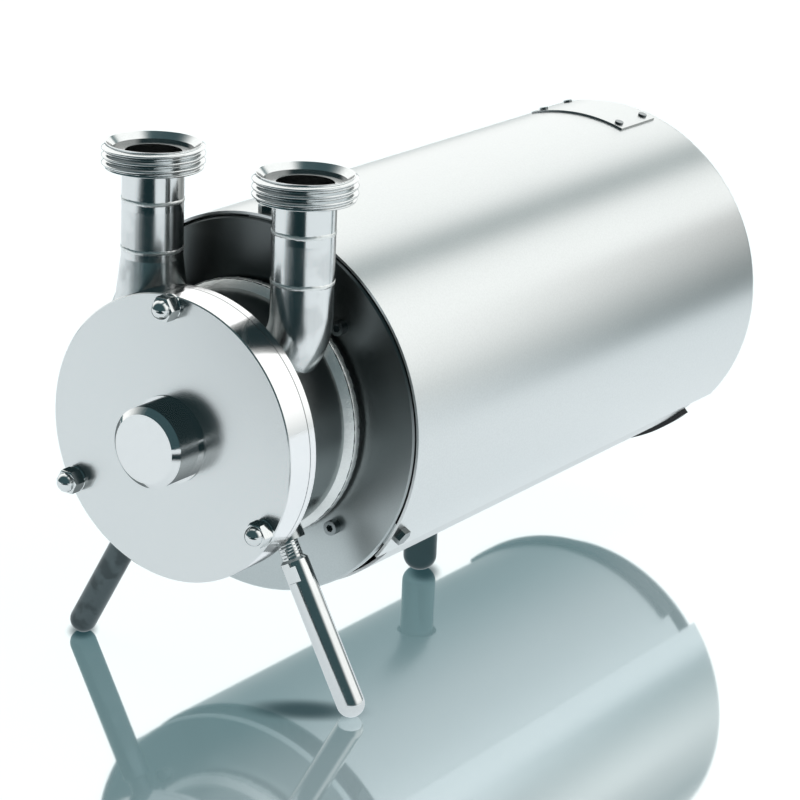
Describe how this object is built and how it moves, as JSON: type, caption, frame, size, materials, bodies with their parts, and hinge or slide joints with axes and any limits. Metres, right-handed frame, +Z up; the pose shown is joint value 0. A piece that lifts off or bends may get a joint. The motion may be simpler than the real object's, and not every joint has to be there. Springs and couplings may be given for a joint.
{
  "type": "self-priming pump",
  "caption": "Hygienic stainless pump on three legs, with two threaded ports on top and its motor under a round shroud.",
  "frame": {"origin": "on the floor, below the middle of the overall length and of the width", "axes": "+Y runs from the pump cover to the motor end along the shaft, +X is to the right of someone who faces the cover, +Z is up"},
  "size_m": [0.225, 0.4946, 0.303],
  "materials": {
    "satin": "satin brushed stainless steel",
    "polished": "polished stainless steel",
    "dark": "darkened steel",
    "alu": "cast aluminium",
    "iron": "painted cast iron",
    "rubber": "black elastomer",
    "carbon": "lapped carbon",
    "seat": "lapped silicon carbide",
    "core": "stacked sheet steel",
    "copper": "varnished copper wire",
    "plastic": "moulded plastic"
  },
  "bodies": {
    "base": {"front_cover": "satin", "hub_cap": "polished", "cover_o_ring": "rubber", "cover_studs": "polished", "cover_washers": "polished", "cap_nuts": "polished", "pump_casing": "polished", "port_plate": "satin", "seal_seat": "seat", "seat_o_ring": "rubber", "suction_union": "polished", "discharge_union": "polished", "suction_pipe": "polished", "discharge_pipe": "polished", "suction_reducer": "polished", "discharge_elbow": "polished", "motor_adapter": "iron", "casing_screws": "dark", "motor_flange": "alu", "flange_bolts": "dark", "motor_frame": "alu", "stator_core": "core", "stator_winding": "copper", "bearing_outer_rings": "polished", "rear_shield": "alu", "tie_bolts": "dark", "fan_cowl": "dark", "terminal_box": "plastic", "terminal_box_lid": "plastic", "box_bracket": "satin", "cable_gland": "plastic", "shroud_disc": "satin", "disc_screws": "dark", "shroud": "satin", "shroud_belly": "satin", "belly_trim": "rubber", "shroud_screws": "polished", "hatch_plate": "satin", "hatch_screws": "dark", "rear_grille": "satin", "grille_screws": "dark", "cable_grommet": "rubber", "rear_leg_pad": "dark", "pad_screws": "dark"},
    "rotor": {"motor_shaft": "polished", "rotor_core": "core", "bearing_inner_rings": "polished", "cooling_fan": "plastic", "pump_shaft": "polished", "shaft_screws": "dark", "impeller": "satin", "impeller_key": "dark", "impeller_nut": "polished", "seal_ring": "carbon", "seal_spring": "polished"},
    "ball_cages": {"bearing_balls": "polished", "bearing_cages": "dark"},
    "front_leg_left_body": {"front_leg_left": "polished"},
    "front_leg_right_body": {"front_leg_right": "polished"},
    "rear_leg_body": {"rear_leg": "polished"}
  },
  "joints": [
    {"name": "rotor_spin", "type": "hinge", "parent": "base", "child": "rotor", "pos_m": [0, 0, 0.153], "axis": [0, 1, 0], "continuous": true},
    {"name": "cage_spin", "type": "hinge", "parent": "base", "child": "ball_cages", "pos_m": [0, 0, 0.153], "axis": [0, 1, 0], "continuous": true},
    {"name": "left_leg_height", "type": "slide", "parent": "base", "child": "front_leg_left_body", "axis": [-0.4848, 0, -0.8746], "range_m": [0, 0.008]},
    {"name": "right_leg_height", "type": "slide", "parent": "base", "child": "front_leg_right_body", "axis": [0.4848, 0, -0.8746], "range_m": [0, 0.008]},
    {"name": "rear_leg_height", "type": "slide", "parent": "base", "child": "rear_leg_body", "axis": [0, 0, -1], "range_m": [0, 0.008]}
  ],
  "couplings": [
    {"joint": "cage_spin", "follows": "rotor_spin", "ratio": 0.382}
  ]
}
